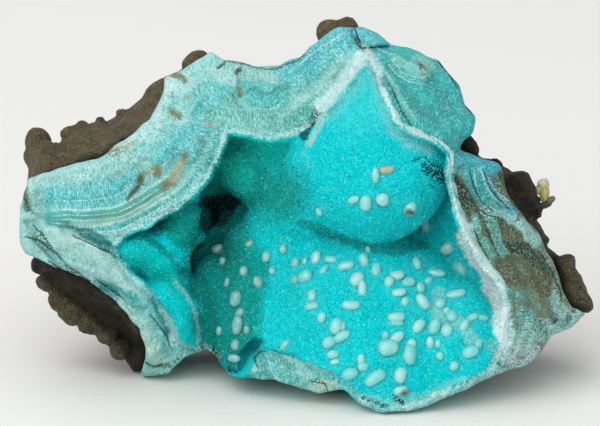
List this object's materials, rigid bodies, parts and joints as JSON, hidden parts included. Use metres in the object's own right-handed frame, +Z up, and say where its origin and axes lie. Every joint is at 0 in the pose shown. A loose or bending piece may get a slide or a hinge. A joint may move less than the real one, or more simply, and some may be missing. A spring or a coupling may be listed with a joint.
{
  "type": "mineral specimen",
  "caption": "Hand specimen of smithsonite with aurichalcite: a banded turquoise crust on dark goethite rock, broken open to a druse-lined hollow with rice-grain crystals.",
  "frame": {"origin": "middle of the footprint's bounding box, at the surface the specimen rests on", "axes": "+X runs along the length, to the right when the open hollow is seen from the front; +Y runs from the front to the back; +Z is up"},
  "size_m": [0.0904, 0.0572, 0.0554],
  "materials": {
    "goethite": "dark olive-brown, knobbly and dull, with rusty and near-black patches",
    "aurichalcite": "pale to mid turquoise bands with white and grey-green lines, fibrous and dull where broken",
    "smithsonite": "bright velvety turquoise druse with fine sparkle and pale translucent rice-grain crystals"
  },
  "bodies": {
    "root": {"matrix": "goethite", "aurichalcite_crust": "aurichalcite", "crystal_crust": "smithsonite"}
  },
  "joints": []
}
